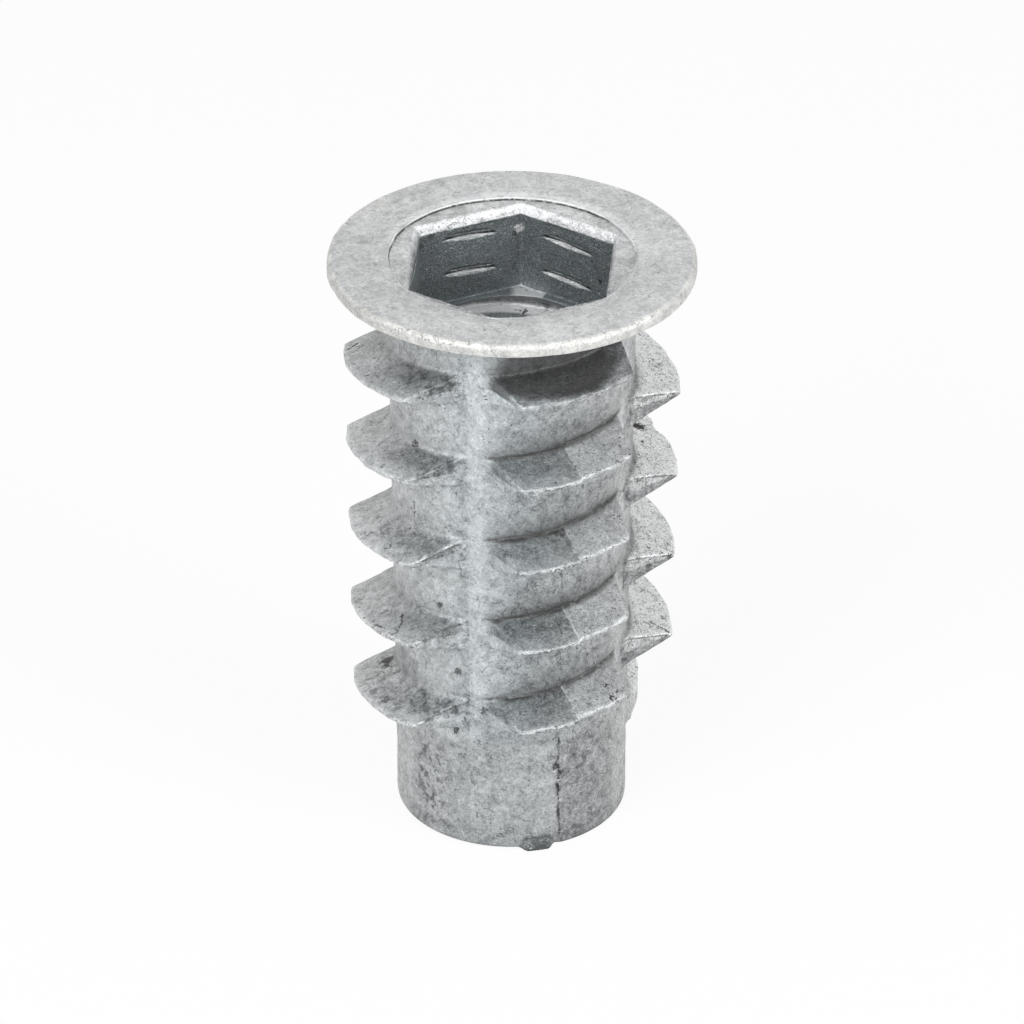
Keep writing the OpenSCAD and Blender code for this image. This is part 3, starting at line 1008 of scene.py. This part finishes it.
def cast_zinc(n):
    """Raw die-cast zinc: a mottled grey skin with hairs, curls, specks and stains, and painted shade and
    painted highlights.
    """
    place = n.new("ShaderNodeTexCoord").outputs["Object"]
    edge, speckled = n.painted("edge"), n.painted("speckled")

    # Patterns, from the largest to the smallest
    clouds = n.pattern(place, 1.7, 3, 0.55, 0.4)
    patches = n.pattern(place, 0.42, 4, 0.65, 0.6)
    mottle = n.pattern(place, 0.17, 3, 0.7, 0.5)
    grain = n.pattern(place, 0.07, 2, 0.7)
    specks = n.range(n.noise(place, 0.13, 2, 0.5), 0.66, 0.72)
    fine_specks = n.range(n.noise(place, 0.055, 3, 0.75, 0.3), 0.53, 0.68)
    flecks = n.range(n.noise(place, 0.06, 2, 0.6), 0.61, 0.69)
    gaps = n.noise(place, 0.15, 3, 0.6)
    hairs = n.times(n.cracks(place, 1.3, 0.028), n.range(n.noise(place, 0.8, 2, 0.5), 0.47, 0.58))
    curl = n.math("ABSOLUTE", n.math("SUBTRACT", n.noise(place, 0.26, 3, 0.65, 0.5), 0.5))
    curls = n.times(n.range(curl, 0.006, 0.022, 1.0, 0.0), n.range(n.noise(place, 0.33, 1, 0.5), 0.45, 0.56))
    dark, bright = single_marks(n, place)

    # How light the skin is: from the painted tones, lighter on edges with painted highlights, darker in
    # hollows with painted shade, and darker in stains
    level = n.math("ADD", n.painted("tone"), 0.62)
    for pattern, amount in ((clouds, 0.06), (patches, 0.13), (mottle, 0.13), (grain, 0.14)):
        level = n.math("ADD", level, n.times(pattern, amount))
    # Painted highlights on convex edges
    level = n.math("ADD", level, n.times(n.range(edge, 0.2, 0.9), 0.15))
    stains = n.range(n.noise(place, 0.3, 4, 0.7, 0.4), 0.46, 0.62)
    level = n.math("SUBTRACT", level, n.times(stains, n.times(n.painted("stained"), 0.45)))
    # Painted shade in hollows
    level = n.math("SUBTRACT", level, n.times(n.range(edge, -0.1, -0.7), 0.25))

    # Colour of the skin, from what lies deepest to what lies on top
    tint = n.painted("tint")
    colour = n.blend(level, grey(0.10, 1.10), grey(0.86, 1.02))
    colour = n.blend(n.range(tint, 0, 1), colour, (0.965, 1.02, 1.04, 1.0), "MULTIPLY")
    colour = n.blend(n.range(tint, 0, -1), colour, (1.0, 0.985, 0.93, 1.0), "MULTIPLY")
    colour = n.blend(n.times(fine_specks, speckled), colour, grey(0.08))
    colour = n.blend(n.times(specks, n.range(speckled, 0, 0.4, 0.5, 1.0)), colour, grey(0.10))
    colour = n.blend(n.times(hairs, n.range(speckled, 0, 0.3, 0.4, 0.8)), colour, grey(0.11))
    colour = n.blend(n.times(curls, n.range(speckled, 0, 1, 0.1, 0.85)), colour, grey(0.12))
    colour = n.blend(n.times(flecks, n.range(patches, -0.2, 0.9, 0.1, 0.7)), colour, grey(0.9))
    # Painted shade in the socket and the bore: a dark blue grey with light flecks
    inner = n.blend(n.range(grain, -1.2, 1.2), grey(0.12, 1.2), grey(0.32, 1.14))
    inner = n.blend(n.times(flecks, 0.6), inner, grey(0.7, 1.05))
    colour = n.blend(n.painted("hollow"), colour, inner)
    # Painted shade, a dark brownish grey, stronger where the patches are
    shade_amount = n.times(n.painted("painted_shade"), n.range(patches, -1, 1, 0.55, 1.0))
    colour = n.blend(shade_amount, colour, grey(0.075, 0.95))
    # Thin lines of painted shade, broken by gaps
    colour = n.blend(n.times(n.painted("line"), n.range(gaps, 0.3, 0.5, 0.3, 1.0)), colour, grey(0.05, 0.95))
    # Broken painted highlights and painted shade along the crests
    edging = n.painted("edging")
    colour = n.blend(n.times(edging, n.range(gaps, 0.5, 0.46)), colour, grey(0.85, 1.0))
    colour = n.blend(n.times(edging, n.range(gaps, 0.49, 0.55)), colour, grey(0.06, 0.95))
    colour = n.blend(dark, colour, grey(0.035, 0.95))
    colour = n.blend(bright, colour, grey(0.88, 1.0))

    # Relief: specks, hairs, curls and marks are sunk
    height = n.math("ADD", n.times(grain, 0.4), n.times(patches, 0.5))
    height = n.math("SUBTRACT", height, hairs)
    height = n.math("SUBTRACT", height, n.math("MAXIMUM", specks, dark))
    height = n.math("SUBTRACT", height, n.times(curls, 0.5))
    bump = n.new("ShaderNodeBump", {"Strength": 0.6, "Distance": 0.02 * MM, "Height": height})
    rough = n.range(level, 0.1, 0.9, 0.42, 0.55)
    return n.new("ShaderNodeBsdfPrincipled", {
        "Base Color": colour, "Metallic": 0.7, "Roughness": rough, "Normal": bump.outputs["Normal"]})


def white_paper(n):
    """White floor that the camera sees almost at its own brightness, and that keeps the object's shadow."""
    diffuse = n.new("ShaderNodeBsdfDiffuse", {"Color": (0.86, 0.86, 0.86, 1)})
    white = n.new("ShaderNodeEmission", {"Color": (1, 1, 1, 1), "Strength": 1.0})
    seen = n.times(n.new("ShaderNodeLightPath").outputs["Is Camera Ray"], 0.9)
    return n.new("ShaderNodeMixShader", {0: seen, 1: diffuse.outputs[0], 2: white.outputs[0]})


def make_material(name, mesh, build):
    """Gives a mesh a new material, whose shader build(nodes) makes."""
    material = bpy.data.materials.new(name)
    material.use_nodes = True
    n = Nodes(material.node_tree)
    n.new("ShaderNodeOutputMaterial", {"Surface": build(n).outputs[0]})
    mesh.materials.append(material)


make_material("cast_zinc", mesh, cast_zinc)


# ---------------------------------------------------------------- floor, light and camera

FLOOR_HALF = 2.0
floor_mesh = bpy.data.meshes.new("floor")
floor_mesh.from_pydata([(-FLOOR_HALF, -FLOOR_HALF, 0), (FLOOR_HALF, -FLOOR_HALF, 0),
                        (FLOOR_HALF, FLOOR_HALF, 0), (-FLOOR_HALF, FLOOR_HALF, 0)], [], [(0, 1, 2, 3)])
make_material("paper", floor_mesh, white_paper)
floor = bpy.data.objects.new("floor", floor_mesh)
floor.location.z = cad_low.z
bpy.context.collection.objects.link(floor)


def studio(n):
    """Soft light from all round. Metal mirrors it brighter at the back and darker straight above."""
    path = n.new("ShaderNodeLightPath").outputs
    towards = n.new("ShaderNodeSeparateXYZ", {0: n.new("ShaderNodeTexCoord").outputs["Generated"]}).outputs
    backdrop = n.times(n.range(towards[1], -0.2, 0.5), n.range(towards[2], 0.85, 0.35, 0.35, 1.0))
    room = n.math("ADD", n.times(backdrop, 0.75), 0.4)
    mirrored = n.math("MAXIMUM", path["Is Glossy Ray"], path["Is Transmission Ray"])
    strength = n.times(n.math("MINIMUM", room, 1.0), n.range(mirrored, 0, 1, 0.75, 1.0))
    strength = n.math("MAXIMUM", strength, path["Is Camera Ray"])
    return n.new("ShaderNodeBackground", {"Color": (1, 1, 1, 1), "Strength": strength})


world = bpy.data.worlds.new("studio")
world.use_nodes = True
world_nodes = Nodes(world.node_tree)
world_nodes.new("ShaderNodeOutputWorld", {"Surface": studio(world_nodes).outputs[0]})
bpy.context.scene.world = world


def lamp(name, azimuth, elevation, power):
    """Square area lamp that faces the middle of the insert."""
    distance, size = 0.25, 0.14
    middle = (cad_low + cad_high) / 2
    a, e = math.radians(azimuth), math.radians(elevation)
    away = Vector((math.cos(a) * math.cos(e), math.sin(a) * math.cos(e), math.sin(e)))
    data = bpy.data.lights.new(name, "AREA")
    data.size = size
    data.energy = power
    lamp_object = bpy.data.objects.new(name, data)
    lamp_object.location = middle + away * distance
    lamp_object.rotation_euler = away.to_track_quat("Z", "Y").to_euler()
    bpy.context.collection.objects.link(lamp_object)


lamp("key", azimuth=235, elevation=38, power=0.42)
lamp("fill", azimuth=325, elevation=30, power=0.36)

# The camera looks at a point a little above the middle, from the front and above, through a long lens
CAMERA_ELEVATION, CAMERA_ROLL = 30.5, 0.0665
CAMERA_DISTANCE = 0.236
AIM_RIGHT, AIM_UP = 0.000013, 0.528
aim = Vector((AIM_RIGHT, 0, mix(cad_low.z, cad_high.z, AIM_UP)))
camera_data = bpy.data.cameras.new("camera")
camera_data.sensor_width = 36
camera_data.lens = 256.56
camera_data.clip_start = 0.01
camera = bpy.data.objects.new("camera", camera_data)
tilt = Matrix.Rotation(math.radians(90 - CAMERA_ELEVATION), 4, "X")
roll = Matrix.Rotation(math.radians(CAMERA_ROLL), 4, "Z")
camera.matrix_world = Matrix.Translation(aim) @ tilt @ roll @ Matrix.Translation((0, 0, CAMERA_DISTANCE))
bpy.context.collection.objects.link(camera)
bpy.context.scene.camera = camera
bpy.context.scene.view_settings.view_transform = "Standard"
